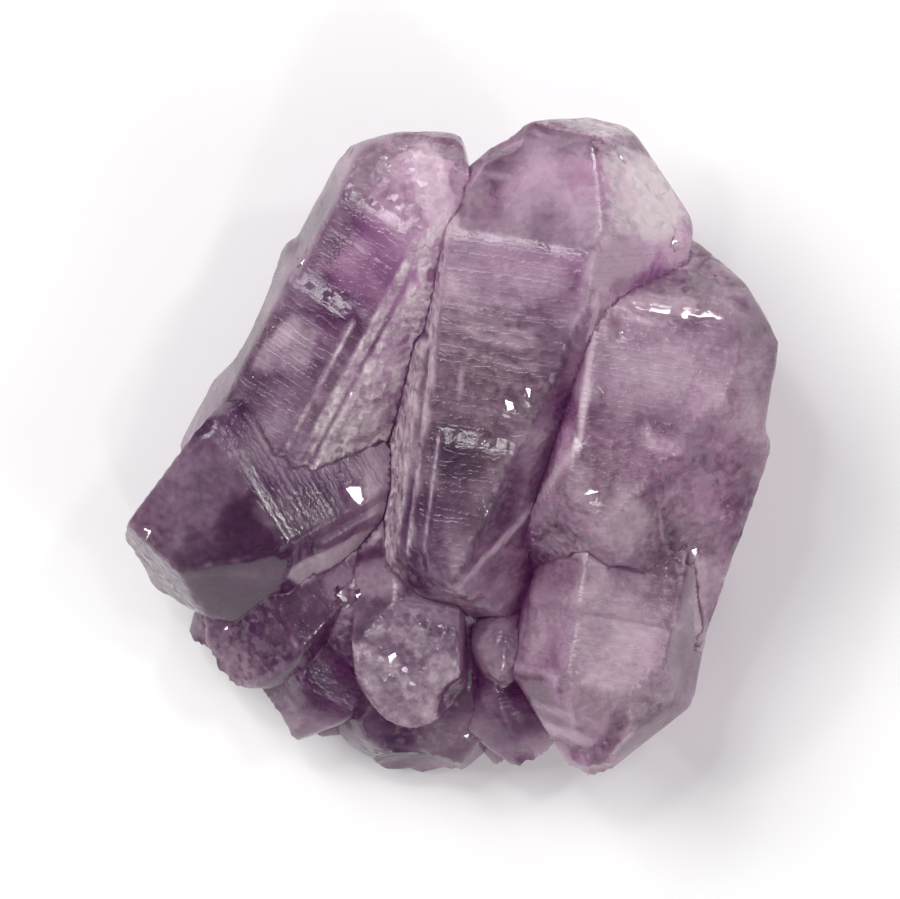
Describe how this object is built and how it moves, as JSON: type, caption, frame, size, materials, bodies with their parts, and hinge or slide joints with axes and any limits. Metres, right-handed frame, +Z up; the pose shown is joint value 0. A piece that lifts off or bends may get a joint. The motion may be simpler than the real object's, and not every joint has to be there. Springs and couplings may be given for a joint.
{
  "type": "amethyst cluster",
  "caption": "Palm-small amethyst cluster: six-sided quartz crystals with low pyramid tips fan out of one broken root and lie on its flat underside.",
  "frame": {"origin": "under the middle of the stone's outline seen from above, on the flat break it rests on", "axes": "+Z up from the rest face, +Y towards the tips of the two largest crystals at the back, +X to the right seen from the front"},
  "size_m": [0.0282, 0.0286, 0.0151],
  "materials": {
    "amethyst": "satin"
  },
  "bodies": {
    "root": {"amethyst_cluster": "amethyst"}
  },
  "joints": []
}
